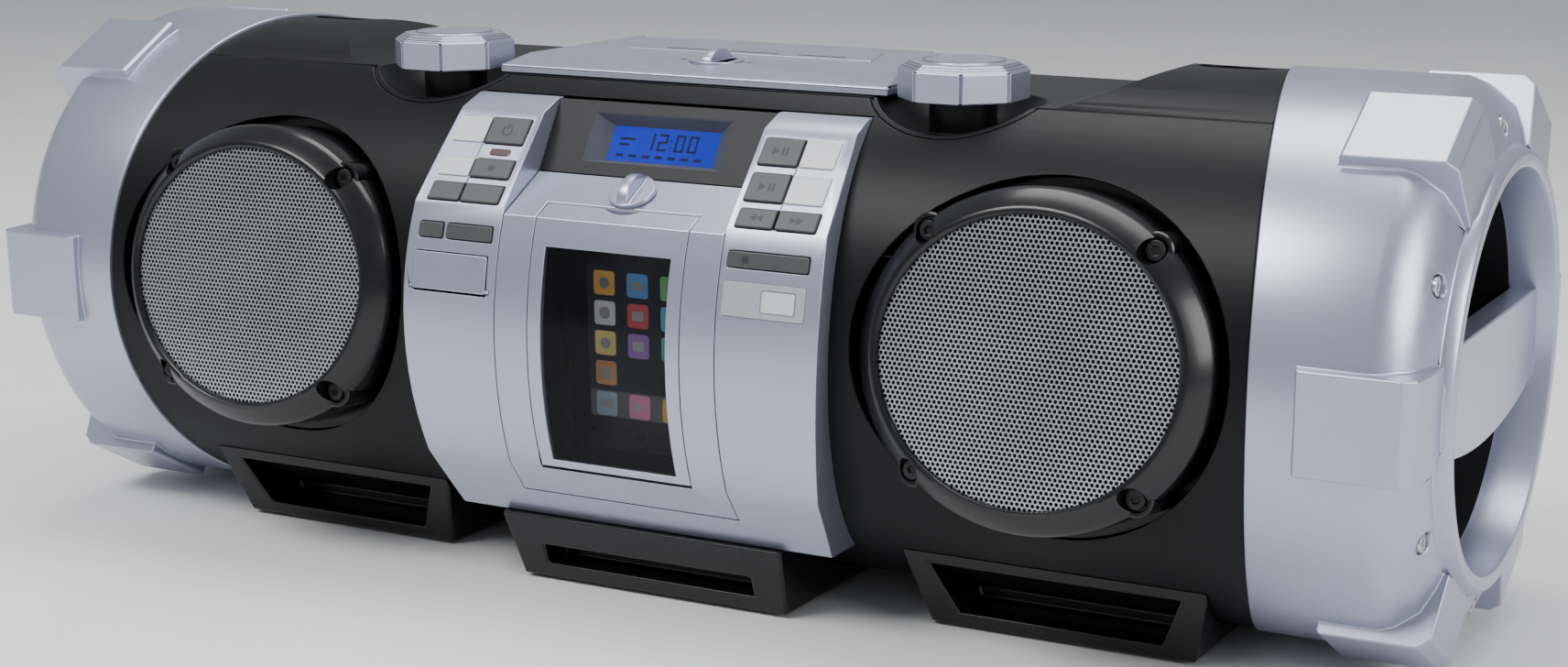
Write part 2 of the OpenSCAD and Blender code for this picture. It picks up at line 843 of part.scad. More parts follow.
module cd_lid() {
    half = lid_w / 2;
    z0 = deck_z + 0.4;
    z1 = z0 + lid_h;
    front = [[-half, z0], [-half, z0 + 3.4], [-half + 4, z1], [half - 4, z1], [half, z0 + 3.4],
        [half, z0]];
    color(silver) on_axis() {
        intersection() {
            difference() {
                prism_x([[-53.5, z0], [-53, z0 + 3.6], [-37, z1], [54, z1], [55.5, z1 - 1.5],
                    [55.5, z0]], half);
                prism_x([[-50, z0 - 1], [-50, z0 + 2.2], [-36, z1 - 2.4], [52.5, z1 - 2.4],
                    [52.5, z0 - 1]], half - 3.5);
                // Notches round the hinge ears
                both_sides() translate([65.4, 49, z0 - 1]) cube([22, 20, 20]);
                // Dish and bore for the release knob
                translate([lid_knob_x, lid_knob_y, z1 - 1.2]) cylinder(r = 12, h = 5, $fn = 64);
                translate([lid_knob_x, lid_knob_y, z0]) cylinder(r = 4.1, h = 20, $fn = 48);
            }
            rotate([90, 0, 0]) linear_extrude(2 * far, center = true) polygon(front);
        }
        // Hinge arms with their pins
        both_sides() translate([70, lid_hinge[0], lid_hinge[1]]) rotate([0, 90, 0]) {
            cylinder(r = 2.6, h = 12, $fn = 32);
            translate([-3.4, -12, 0]) cube([4.8, 12, 12]);
            translate([0, 0, -3]) cylinder(r = 1.55, h = 18, $fn = 32);
        }
        // Disc clamp under the lid
        translate([well[0], well[1], z1 - 5.4]) cylinder(r = 14, h = 3.2);
    }
}

module lid_knob() {
    z1 = deck_z + 0.4 + lid_h;
    color(silver) on_axis() translate([lid_knob_x, lid_knob_y, 0]) {
        translate([0, 0, z1 - 0.9]) cylinder(r = 11.4, h = 1.4, $fn = 64);
        translate([0, 0, z1 - 4.5]) cylinder(r = 4.05, h = 5, $fn = 48);
        intersection() {
            translate([-2.6, -10, z1]) cube([5.2, 20, 6]);
            translate([0, 0, z1]) scale([1, 1, 0.55]) sphere(r = 10);
        }
    }
}

// Round tray sunk in the deck, with a slot for the pickup
module cd_tray() {
    color(gloss_black) on_axis() translate([well[0], well[1], 0]) difference() {
        rotate_extrude() polygon([[well_r + 3, deck_z - 0.4],
            [well_r, deck_z - 0.4], [well_r, deck_z - 13], [0, deck_z - 13], [0, deck_z - 15.5],
            [well_r + 3, deck_z - 15.5]]);
        translate([0, 0, deck_z - 20]) cylinder(r = 5, h = 20, $fn = 48);
        translate([-9, -46, deck_z - 20]) cube([18, 33, 20]);
    }
}

module spindle() {
    color(grey) on_axis() translate([well[0], well[1], 0]) {
        translate([0, 0, deck_z - 22]) cylinder(r = 4.6, h = 11, $fn = 48);
        translate([0, 0, deck_z - 11.6]) cylinder(r = 12, h = 2, $fn = 64);
        translate([0, 0, deck_z - 11]) cylinder(r = 7.3, h = 4.4, $fn = 64);
        // Three catches that grip the disc
        for (a = [0:120:240]) rotate([0, 0, a]) translate([4, -1.5, deck_z - 8]) cube([3.1, 3, 2]);
    }
}

module cd_pickup() {
    color(charcoal) on_axis() translate([well[0], well[1], 0]) {
        translate([-8, -26, deck_z - 20]) cube([16, 11, 6.4]);
        translate([0, -20.5, deck_z - 14]) cylinder(r = 3, h = 1.8, $fn = 32);
    }
}

// ---------- level knobs ----------

module level_knob(side) {
    sides = 8;
    on_axis() translate([side * knob_x, -45, deck_z + 0.8]) {
        difference() {
            rotate([0, 0, 180 / sides]) {
                cylinder(r = knob_r, h = knob_h - 3.4, $fn = sides);
                // Sloping edge in short steps, and the flat top
                for (i = [1:3]) cylinder(r = knob_r - 1.5 * i, h = knob_h - 3.4 + 0.9 * i, $fn = sides);
            }
            // Joints between the eight side pieces
            for (a = [22.5:45:337.5]) rotate([0, 0, a]) translate([knob_r - 1.4, -0.5, -1])
                cube([4, 1, knob_h + 2]);
        }
        cylinder(r = 17, h = knob_h, $fn = 64);
        translate([0, 0, -14]) cylinder(r = 3.1, h = 15, $fn = 48);
    }
}

module volume_knob() {
    color(silver) level_knob(1);
}

module woofer_knob() {
    color(silver) level_knob(-1);
}

// ---------- feet ----------

module foot_solid(x0, x1, flare, front, rear) {
    pad = 1.5;
    intersection() {
        rotate([90, 0, 0]) linear_extrude(2 * far, center = true)
            polygon([[x0, pad], [x1, pad], [x1 + flare, 48], [x0 - flare, 48]]);
        prism_x([[front, pad], [rear, pad], [rear + 12, 48], [front - 17, 48]], far);
    }
}

module outer_foot(side) {
    lo = side > 0 ? 124 : -242;
    hi = side > 0 ? 242 : -124;
    difference() {
        foot_solid(lo, hi, 12, -66, 70);
        on_axis() bar_x(body_r, far);
        on_axis() both_sides() beyond_seam(-6);
        // Hollow in the front of the foot
        intersection() {
            translate([0, 60, 0]) rotate([90, 0, 0]) linear_extrude(far)
                polygon([[lo + 14, 8], [hi - 14, 8], [hi - 4, 30], [lo + 4, 30]]);
            translate([-far, -200, 0]) cube([2 * far, 155, 100]);
        }
    }
}

module left_foot() {
    color(gloss_black) outer_foot(-1);
}

module right_foot() {
    color(gloss_black) outer_foot(1);
}

module centre_foot() {
    color(gloss_black) difference() {
        foot_solid(-67, 67, 5, -89, 50);
        on_axis() bar_x(body_r, far);
        on_axis() prism_x([[-120, panel_foot[1] - 0.1], [-60, panel_foot[1] - 0.1], [-60, 0], [-120, 0]], far);
        translate([-52, -120, 9]) cube([104, 42, 9]);
    }
}

module foot_pads() {
    color([0.08, 0.08, 0.08]) {
        for (x = [-183, 183], y = [-50, 56]) translate([x, y, 0]) rounded_box(-45, 45, -6, 6, 0, 1.5, 5);
        for (y = [-74, 38]) translate([0, y, 0]) rounded_box(-50, 50, -6, 6, 0, 1.5, 5);
    }
}

// ---------- rear ----------

module battery_cover() {
    color(charcoal) on_axis() difference() {
        battery_box(92, rear_plate_y);
        battery_box(80, rear_plate_y - wall, -wall);
        // Finger notches in the upper edge
        for (x = [-90, 90]) translate([x, rear_plate_y, battery_z[1]]) rotate([0, 90, 0])
            cylinder(r = 2, h = 24, center = true, $fn = 32);
    }
}

module jack_panel() {
    color(gloss_black) on_axis() {
        difference() {
            intersection() {
                union() {
                    difference() {
                        bar_x(body_r, far);
                        bar_x(body_r - wall, far);
                    }
                    rotate([-22, 0, 0]) translate([-214, body_r - 24, -30]) cube([54, 22, 60]);
                }
                jack_zone();
            }
            rotate([-22, 0, 0]) {
                // Recess, mains inlet and two jacks
                translate([-210, body_r - 12, -26]) cube([46, 40, 52]);
                translate([-204, body_r - 20, -8]) cube([14, 20, 11]);
                for (x = [-180, -171]) translate([x, body_r - 20, 0]) rotate([-90, 0, 0])
                    cylinder(r = 1.8, h = 20, $fn = 32);
            }
        }
    }
}

// Round plug on the aerial's tube end and the tube itself, stowed along -X
module aerial_tube() {
    length = 240;
    color("silver") on_axis() translate([aerial_x, aerial_y, aerial_z]) {
        rotate([90, 0, 0]) cylinder(r = 4.6, h = 8, center = true, $fn = 48);
        rotate([90, 0, 0]) cylinder(r = 1.5, h = 12.6, center = true, $fn = 32);
        rotate([0, -90, 0]) difference() {
            cylinder(r = aerial_r, h = length, $fn = 48);
            translate([0, 0, 12]) cylinder(r = 2.3, h = length, $fn = 48);
        }
    }
}

module aerial_rod() {
    color("silver") on_axis() translate([aerial_x, aerial_y, aerial_z]) rotate([0, -90, 0]) {
        translate([0, 0, 14]) cylinder(r = 2.2, h = 228, $fn = 48);
        translate([0, 0, 240.6]) cylinder(r = 3.8, h = 6, $fn = 48);
    }
}

// ---------- inside ----------

module main_board() {
    color([0.1, 0.3, 0.15]) on_axis() {
        translate([-88, -40, -64]) cube([176, 90, 1.6]);
        translate([-60, -20, -62.4]) cube([30, 20, 12]);
        translate([10, 0, -62.4]) cube([50, 30, 22]);
        both_sides() translate([66, -36, -62.4]) cube([12, 16, 20]);
    }
}

module transformer() {
    color([0.35, 0.3, 0.25]) on_axis() {
        translate([-40, -20, -100]) cube([80, 46, 30]);
        translate([-26, -30, -96]) cube([52, 66, 22]);
    }
}

front_shell();
rear_shell();
top_cover();
left_cap();
right_cap();
cap_screws();
left_woofer();
right_woofer();
left_cone();
right_cone();
woofer_baffles();
left_ring();
right_ring();
left_grille();
right_grille();
ring_screws();
front_drivers();
centre_panel();
dock_frame();
lcd_bezel();
lcd_window();
lcd_module();
label_plates();
standby_lamp();
remote_window();
power_button();
line_in_button();
fm_button();
preset_button();
fm_mode_button();
sound_mode_button();
dock_play_button();
cd_play_button();
rewind_button();
forward_button();
stop_button();
flap_door();
flap_socket();
dock_door();
dock_window();
dock_knob();
dock_cradle();
docked_player();
cd_lid();
lid_knob();
cd_tray();
spindle();
cd_pickup();
volume_knob();
woofer_knob();
left_foot();
right_foot();
centre_foot();
foot_pads();
battery_cover();
jack_panel();
main_board();
transformer();
aerial_tube();
aerial_rod();
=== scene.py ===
import json
import math

import bmesh
import bpy
from mathutils import Matrix, Vector


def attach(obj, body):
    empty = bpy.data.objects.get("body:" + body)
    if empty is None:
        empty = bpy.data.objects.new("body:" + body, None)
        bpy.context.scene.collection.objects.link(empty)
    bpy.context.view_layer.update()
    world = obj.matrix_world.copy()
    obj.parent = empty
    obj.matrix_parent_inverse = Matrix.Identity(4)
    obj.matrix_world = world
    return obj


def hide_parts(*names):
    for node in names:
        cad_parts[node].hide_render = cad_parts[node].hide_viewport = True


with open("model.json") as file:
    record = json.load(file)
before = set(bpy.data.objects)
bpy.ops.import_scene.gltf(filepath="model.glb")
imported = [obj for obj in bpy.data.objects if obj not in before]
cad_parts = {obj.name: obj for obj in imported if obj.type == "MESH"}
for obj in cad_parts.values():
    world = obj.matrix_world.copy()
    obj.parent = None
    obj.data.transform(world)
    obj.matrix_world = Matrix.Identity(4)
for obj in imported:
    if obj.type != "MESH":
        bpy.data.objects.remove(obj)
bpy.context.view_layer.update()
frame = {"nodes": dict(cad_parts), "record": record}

# Sizes below are in millimetres unless a comment says otherwise
MM = 0.001
# Height of the tube's axis above the floor
AXIS = 119.0
# Overall radius of the domed speaker sheets, and their height for a width of one
SHEET_RADIUS = 62.1
RATIO = 0.905

BODY_OF = {n: b for b, ns in frame["record"]["behaviour"]["bodies"].items() for n in ns}


# ---------- materials ----------

def tree(name):
    """A new material, its node tree and its shader."""
    m = bpy.data.materials.new(name)
    m.use_nodes = True
    nt = m.node_tree
    b = nt.nodes["Principled BSDF"]
    return m, nt, b


def coords(nt):
    return nt.nodes.new("ShaderNodeTexCoord").outputs["Object"]


def noise(nt, scale, detail=3.0, rough=0.55):
    n = nt.nodes.new("ShaderNodeTexNoise")
    n.inputs["Scale"].default_value = scale
    n.inputs["Detail"].default_value = detail
    n.inputs["Roughness"].default_value = rough
    nt.links.new(coords(nt), n.inputs["Vector"])
    return n.outputs["Fac"]


def ramp(nt, fac, a, b, lo=0.35, hi=0.65):
    r = nt.nodes.new("ShaderNodeValToRGB")
    r.color_ramp.elements[0].position = lo
    r.color_ramp.elements[1].position = hi
    r.color_ramp.elements[0].color = (*a, 1)
    r.color_ramp.elements[1].color = (*b, 1)
    nt.links.new(fac, r.inputs["Fac"])
    return r.outputs["Color"]


def spread(nt, fac, lo, hi):
    """A factor from 0 to 1 mapped to a number between lo and hi."""
    r = nt.nodes.new("ShaderNodeMapRange")
    r.inputs["To Min"].default_value = lo
    r.inputs["To Max"].default_value = hi
    nt.links.new(fac, r.inputs["Value"])
    return r.outputs["Result"]


def bump(nt, b, fac, strength, distance):
    n = nt.nodes.new("ShaderNodeBump")
    n.inputs["Strength"].default_value = strength
    n.inputs["Distance"].default_value = distance
    nt.links.new(fac, n.inputs["Height"])
    nt.links.new(n.outputs["Normal"], b.inputs["Normal"])


def shade(c, k):
    """A colour made lighter or darker by a factor."""
    return tuple(min(1.0, v * k) for v in c)


def plastic(name, color, rough=0.4, grain=1500, depth=0.00003, vary=0.12, coat=0.0, metallic=0.0,
            spread_rough=0.06):
    """Moulded surface: fine grain as bump, broad patches in colour and roughness."""
    m, nt, b = tree(name)
    fine = noise(nt, grain, 2.0)
    broad = noise(nt, 22, 4.0)
    nt.links.new(ramp(nt, broad, shade(color, 1 - vary), shade(color, 1 + vary)), b.inputs["Base Color"])
    nt.links.new(spread(nt, broad, rough - spread_rough, rough + spread_rough), b.inputs["Roughness"])
    b.inputs["Metallic"].default_value = metallic
    b.inputs["Coat Weight"].default_value = coat
    b.inputs["Coat Roughness"].default_value = 0.12
    bump(nt, b, fine, 0.25, depth)
    return m


def dull(m, level):
    """Sets the specular level, which is lower on dark moulded plastic."""
    m.node_tree.nodes["Principled BSDF"].inputs["Specular IOR Level"].default_value = level
    return m


def flake_paint(name, color, rough=0.33, metallic=0.8, flakes=3400):
    """Silver paint: each flake has its own shade, gloss and tilt."""
    m, nt, b = tree(name)
    v = nt.nodes.new("ShaderNodeTexVoronoi")
    v.inputs["Scale"].default_value = flakes
    nt.links.new(coords(nt), v.inputs["Vector"])
    sep = nt.nodes.new("ShaderNodeSeparateColor")
    nt.links.new(v.outputs["Color"], sep.inputs["Color"])
    broad = noise(nt, 16, 3.0)
    flake = ramp(nt, sep.outputs["Red"], shade(color, 0.97), shade(color, 1.03), 0.1, 0.95)
    cloud = ramp(nt, broad, (0.96, 0.96, 0.97), (1, 1, 1))
    mix = nt.nodes.new("ShaderNodeMix")
    mix.data_type = "RGBA"
    mix.blend_type = "MULTIPLY"
    mix.inputs["Factor"].default_value = 1.0
    nt.links.new(flake, mix.inputs["A"])
    nt.links.new(cloud, mix.inputs["B"])
    nt.links.new(mix.outputs["Result"], b.inputs["Base Color"])
    nt.links.new(spread(nt, sep.outputs["Green"], rough - 0.04, rough + 0.05), b.inputs["Roughness"])
    b.inputs["Metallic"].default_value = metallic
    b.inputs["Coat Weight"].default_value = 0.25
    b.inputs["Coat Roughness"].default_value = 0.22
    bump(nt, b, sep.outputs["Blue"], 0.08, 0.00002)
    return m


def clear(name, color, alpha, rough=0.05):
    """A see-through sheet, by alpha."""
    m = plastic(name, color, rough, 300, 0.000002, 0.2, spread_rough=0.02)
    m.node_tree.nodes["Principled BSDF"].inputs["Alpha"].default_value = alpha
    return m


def glowing(name, low, high, strength):
    """A lit display surface with a slightly uneven backlight."""
    m, nt, b = tree(name)
    broad = noise(nt, 40, 2.0)
    col = ramp(nt, broad, low, high, 0.2, 0.8)
    nt.links.new(col, b.inputs["Base Color"])
    nt.links.new(col, b.inputs["Emission Color"])
    b.inputs["Emission Strength"].default_value = strength
    b.inputs["Roughness"].default_value = 0.6
    return dull(m, 0.1)


SILVER = flake_paint("silver_paint", (0.43, 0.455, 0.565))
CHARCOAL = dull(plastic("charcoal_satin", (0.0050, 0.0051, 0.0062), 0.40, 2200, 0.00004, 0.12), 0.17)
BLACK = dull(plastic("black_satin", (0.003, 0.003, 0.004), 0.27, 1800, 0.00002, 0.15, coat=0.12), 0.4)
MATTE = dull(plastic("black_matte", (0.009, 0.009, 0.010), 0.6, 1200, 0.00006, 0.2), 0.15)
PAPER = plastic("pressed_paper", (0.020, 0.020, 0.022), 0.75, 700, 0.00015, 0.25)
RUBBER = plastic("rubber_black", (0.022, 0.022, 0.023), 0.7, 900, 0.00008, 0.2)
GREY = plastic("grey_button", (0.050, 0.052, 0.058), 0.42, 1800, 0.00003, 0.05)
BEZEL = dull(plastic("bezel_grey", (0.014, 0.014, 0.016), 0.42, 1600, 0.00003, 0.1), 0.2)
RECESS = dull(plastic("recess_grey", (0.060, 0.064, 0.078), 0.5, 1600, 0.00001, 0.08), 0.15)
WHITE = plastic("label_white", (0.60, 0.61, 0.63), 0.3, 900, 0.00001, 0.03, coat=0.2)
PALE = plastic("pale_frame", (0.36, 0.375, 0.42), 0.33, 900, 0.00001, 0.03)
INK = plastic("symbol_ink", (0.02, 0.02, 0.024), 0.5, 900, 0.00001, 0.2)
MESH = plastic("grille_metal", (0.46, 0.48, 0.51), 0.33, 1400, 0.00002, 0.08, metallic=0.75)
STEEL = plastic("bright_steel", (0.58, 0.58, 0.60), 0.28, 1200, 0.00002, 0.08, metallic=0.95)
BLACKSTEEL = plastic("black_oxide", (0.03, 0.03, 0.032), 0.35, 1200, 0.00002, 0.15, metallic=0.6)
CHROME = plastic("chrome_tube", (0.78, 0.78, 0.80), 0.12, 800, 0.00001, 0.03, metallic=1.0,
                 spread_rough=0.03)
BOARD = plastic("board_green", (0.03, 0.13, 0.05), 0.45, 400, 0.0001, 0.25)
CORE = plastic("varnished_core", (0.16, 0.12, 0.08), 0.45, 500, 0.0001, 0.25)
SMOKED = dull(clear("smoked_clear", (0.008, 0.008, 0.010), 0.34), 0.2)
CLEAR = dull(clear("clear_pane", (0.1, 0.15, 0.3), 0.02), 0.05)
LAMP = plastic("lamp_lens", (0.10, 0.06, 0.06), 0.15, 900, 0.00001, 0.1, coat=0.5)
BLUE = glowing("blue_screen", (0.003, 0.010, 0.26), (0.006, 0.020, 0.38), 0.5)
DIGIT = dull(plastic("digit_blue", (0.002, 0.003, 0.03), 0.5, 900, 0.00001, 0.1), 0.1)


# ---------- meshes ----------

def link(o, mats, body):
    bpy.context.scene.collection.objects.link(o)
    o.data.materials.clear()
    for m in mats if isinstance(mats, list) else [mats]:
        o.data.materials.append(m)
    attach(o, body)
    return o


def smooth(me, angle):
    for p in me.polygons:
        p.use_smooth = True
    me.set_sharp_from_angle(angle=math.radians(angle))


def bevelled(o, width, segs=2, angle=32):
    mod = o.modifiers.new("edge", "BEVEL")
    mod.width = width * MM
    mod.segments = segs
    mod.limit_method = "ANGLE"
    mod.angle_limit = math.radians(angle)
    mod.use_clamp_overlap = False
    mod.harden_normals = True


def look(node, mat, width=0.3, segs=2, angle=32, dissolve=1.0):
    """A CAD node's shape with rounded edges, standing for that node."""
    me = frame["nodes"][node].data.copy()
    bm = bmesh.new()
    bm.from_mesh(me)
    bmesh.ops.remove_doubles(bm, verts=bm.verts, dist=3e-6)
    bmesh.ops.dissolve_limit(bm, angle_limit=math.radians(dissolve), verts=bm.verts, edges=bm.edges)
    bm.to_mesh(me)
    bm.free()
    if me.has_custom_normals:
        me.attributes.remove(me.attributes["custom_normal"])
    smooth(me, angle)
    o = link(bpy.data.objects.new("look_" + node, me), mat, BODY_OF[node])
    if width:
        bevelled(o, width, segs, angle)
    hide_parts(node)
    return o


def place(y, z, tilt):
    """Local frame in millimetres: x along the tube, y up the face, z out of it."""
    return (Matrix.Translation((0, y * MM, (AXIS + z) * MM)) @ Matrix.Rotation(math.radians(tilt), 4, "X")
            @ Matrix.Diagonal((MM, MM, MM, 1)))


# Ends of the panel's straight slope, as y and z from the tube's axis
SHOULDER = Vector((-81.5, 88.3))
KNEE = Vector((-113.5, 51.7))
SLOPE = (KNEE - SHOULDER).normalized()
SLOPE_TILT = 90 - math.degrees(math.atan2(-SLOPE[0], -SLOPE[1]))


def on_slope(s):
    """A place on the panel's slope, s down from its top."""
    p = SHOULDER + SLOPE * s
    return place(p[0], p[1], SLOPE_TILT)


# Centre and radius of the panel's curved front, as y and z from the tube's axis
ARC_Y = 36.7
ARC_Z = -6.6
ARC_RADIUS = 161.1


def on_arc(a):
    """A place on the panel's curved front, a degrees above the level of the arc's centre."""
    t = math.radians(a)
    return place(ARC_Y - ARC_RADIUS * math.cos(t), ARC_Z + ARC_RADIUS * math.sin(t), 90 - a)


# Middle of a front speaker's face, and how far it leans back in degrees
POD_X = 188.8
POD_Y = -112.7
POD_Z = 10.5
POD_LEAN = 8.2


def pod(side):
    """Local frame of a front speaker: z points out of its face."""
    return (Matrix.Translation((side * POD_X * MM, POD_Y * MM, (AXIS + POD_Z) * MM))
            @ Matrix.Rotation(math.radians(90 - POD_LEAN), 4, "X") @ Matrix.Diagonal((MM, MM, MM, 1)))


def solid(name, verts, faces, where, mat, body, angle=35, width=0):
    """A piece from its points and faces, which ride on a body; width rounds its edges."""
    me = bpy.data.meshes.new(name)
    me.from_pydata([where @ Vector(v) for v in verts], [], faces)
    bm = bmesh.new()
    bm.from_mesh(me)
    bmesh.ops.recalc_face_normals(bm, faces=bm.faces)
    bm.to_mesh(me)
    bm.free()
    smooth(me, angle)
    o = link(bpy.data.objects.new(name, me), mat, body)
    if width:
        bevelled(o, width)
    return o


class Parts:
    """Collects several prisms and turned shapes into one mesh."""

    def __init__(self):
        self.verts = []
        self.faces = []

    def prism(self, outline, z0, z1):
        n = len(outline)
        base = len(self.verts)
        self.verts += [(x, y, z0) for x, y in outline] + [(x, y, z1) for x, y in outline]
        self.faces.append([base + n + i for i in range(n)])
        self.faces.append([base + n - 1 - i for i in range(n)])
        self.faces += [[base + i, base + (i + 1) % n, base + n + (i + 1) % n, base + n + i]
                       for i in range(n)]

    def lathe(self, profile, cx=0.0, cy=0.0, ratio=1.0, steps=64, closed=False):
        base = len(self.verts)
        n = len(profile)
        for i in range(steps):
            t = 2 * math.pi * i / steps
            for r, z in profile:
                self.verts.append((cx + r * math.cos(t), cy + r * ratio * math.sin(t), z))
        last = n if closed else n - 1
        for i in range(steps):
            for k in range(last):
                a = base + i * n + k
                b = base + i * n + (k + 1) % n
                c = base + ((i + 1) % steps) * n + (k + 1) % n
                d = base + ((i + 1) % steps) * n + k
                self.faces.append([a, b, c, d])

    def make(self, name, where, mat, body, slot, angle=35, width=0):
        return solid(name, self.verts, self.faces, where, mat, body, angle, width)


def circle(cx, cy, r, n=32):
    return [(cx + r * math.cos(math.radians(360.0 * i / n)), cy + r * math.sin(math.radians(360.0 * i / n)))
            for i in range(n)]


def rounded(x0, x1, y0, y1, r, n=6):
    """A rectangle with round corners."""
    corners = ((x1 - r, y1 - r, 0), (x0 + r, y1 - r, 90), (x0 + r, y0 + r, 180), (x1 - r, y0 + r, 270))
    pts = []
    for cx, cy, start in corners:
        for i in range(n + 1):
            t = math.radians(start + 90 * i / n)
            pts.append((cx + r * math.cos(t), cy + r * math.sin(t)))
    return pts


# ---------- CAD nodes with rounded edges ----------

for node, mat, width, segs in (
        ("front_shell", CHARCOAL, 0.8, 3), ("rear_shell", CHARCOAL, 0.6, 2), ("top_cover", CHARCOAL, 0.6, 2),
        ("left_cap", SILVER, 0.8, 3), ("right_cap", SILVER, 0.8, 3), ("cap_screws", STEEL, 0.35, 2),
        ("left_woofer", BLACK, 0.4, 2), ("right_woofer", BLACK, 0.4, 2), ("left_cone", PAPER, 0.3, 2),
        ("right_cone", PAPER, 0.3, 2), ("woofer_baffles", MATTE, 0, 1), ("ring_screws", BLACKSTEEL, 0.35, 2),
        ("front_drivers", PAPER, 0.3, 2), ("centre_panel", SILVER, 0.45, 3), ("dock_frame", SILVER, 0.45, 3),
        ("label_plates", WHITE, 0.5, 3), ("standby_lamp", LAMP, 0.3, 2), ("remote_window", PALE, 0.25, 2),
        ("flap_door", SILVER, 0.45, 3), ("flap_socket", MATTE, 0.2, 1), ("dock_door", SILVER, 0.45, 3),
        ("dock_window", SMOKED, 0.25, 2), ("dock_knob", SILVER, 0.6, 3), ("dock_cradle", MATTE, 0.5, 2),
        ("docked_player", BLACK, 0.9, 3), ("cd_lid", SILVER, 0.9, 3), ("lid_knob", SILVER, 0.5, 3),
        ("cd_tray", MATTE, 0.5, 2), ("spindle", GREY, 0.3, 2), ("cd_pickup", MATTE, 0.3, 2),
        ("volume_knob", SILVER, 0.8, 3), ("woofer_knob", SILVER, 0.8, 3), ("left_foot", BLACK, 1.5, 3),
        ("right_foot", BLACK, 1.5, 3), ("centre_foot", BLACK, 1.5, 3), ("foot_pads", RUBBER, 0.4, 2),
        ("battery_cover", CHARCOAL, 0.8, 2), ("jack_panel", MATTE, 0.4, 2), ("main_board", BOARD, 0.2, 1),
        ("transformer", CORE, 0.6, 2), ("aerial_tube", CHROME, 0.3, 2), ("aerial_rod", CHROME, 0.5, 2)):
    look(node, mat, width, segs)

for node in [n for n in frame["nodes"] if n.endswith("_button")]:
    look(node, GREY, 0.55, 3)


# ---------- funnels in the end caps ----------

# Radius and distance from the middle: the silver lip round each opening, and behind it a matte black lining
# just inside the cap's funnel wall, painted shade for the dark inside of the opening
LIP = [(83.2, 344.95), (82.6, 344.98), (81.5, 344.4), (80.9, 342.6), (78.6, 327), (78.2, 325.4)]
SHADE_THROAT = [(79.0, 325.6), (78.2, 325.2), (76.0, 312), (72.2, 296.2), (72.2, 292.2)]

for side, name in ((-1, "left"), (1, "right")):
    where = (Matrix.Translation((0, 0, AXIS * MM)) @ Matrix.Rotation(math.radians(90 * side), 4, "Y")
             @ Matrix.Diagonal((MM, MM, MM, 1)))
    lip = Parts()
    lip.lathe(LIP, steps=128)
    lip.make(name + "_lip", where, SILVER, "cabinet", name + "_cap", 40)
    # The black lining is painted shade: it darkens the inside of the opening
    shade_lining = Parts()
    shade_lining.lathe(SHADE_THROAT, steps=128)
    shade_lining.make(name + "_funnel", where, MATTE, "cabinet", name + "_cap", 40)


# ---------- front speakers ----------

# Width of a hole in the sheet for a pitch of one
HOLE = 0.73
# Distance between two holes, and thickness of the sheet's walls
PITCH = 2.15
SHEET_WALL = 0.9
# The cells reach this far from the middle, a little way under the ring
SHEET_REACH = 63.0
# Height of the sheet in the middle of the ring, and how much lower its edge is
DOME_TOP = 8.6
DOME_DROP = 0.9
# Where the four screws of a ring are, and the radius of their counterbores
SCREWS = [(x, y) for x in (-46.8, 46.8) for y in (-46.8, 46.8)]
COUNTERBORE = 5
# Section of the ring, and of the raised collar round a screw, as radius and height
RING = [(62.2, -37), (62.2, 7.6), (62.6, 9.0), (63.8, 9.8), (65.2, 9.7), (66.4, 9.0), (72.6, 3.1),
        (74.0, 1.3), (74.5, -0.6), (74.5, -30), (78.2, -30), (78.2, -37)]
LUG = [(0, 0), (5, 0), (5, 1.5), (5.5, 2.0), (6.6, 2.0), (7.2, 1.3), (7.2, -30)]


def cut(o, tool):
    """Takes tool out of o, and removes tool."""
    mod = o.modifiers.new("cut", "BOOLEAN")
    mod.object = tool
    mod.operation = "DIFFERENCE"
    mod.solver = "EXACT"
    me = bpy.data.meshes.new_from_object(o.evaluated_get(bpy.context.evaluated_depsgraph_get()))
    o.modifiers.clear()
    o.data = me
    bpy.data.objects.remove(tool)


def ring_and_collars(side, name):
    where = pod(side)
    ring = Parts()
    ring.lathe(RING, ratio=RATIO, steps=160, closed=True)
    o = ring.make(name + "_ring_look", where, BLACK, "cabinet", name + "_ring", 40)
    tool = Parts()
    for x, y in SCREWS:
        tool.prism(circle(x, y, COUNTERBORE), 0, 20)
    t = tool.make("tool_" + name, where, BLACK, "cabinet", name + "_ring")
    cut(o, t)
    smooth(o.data, 40)
    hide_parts(name + "_ring")
    lugs = Parts()
    for x, y in SCREWS:
        lugs.lathe(LUG, x, y, steps=40)
    lugs.make(name + "_lugs", where, BLACK, "cabinet", name + "_ring", 40)


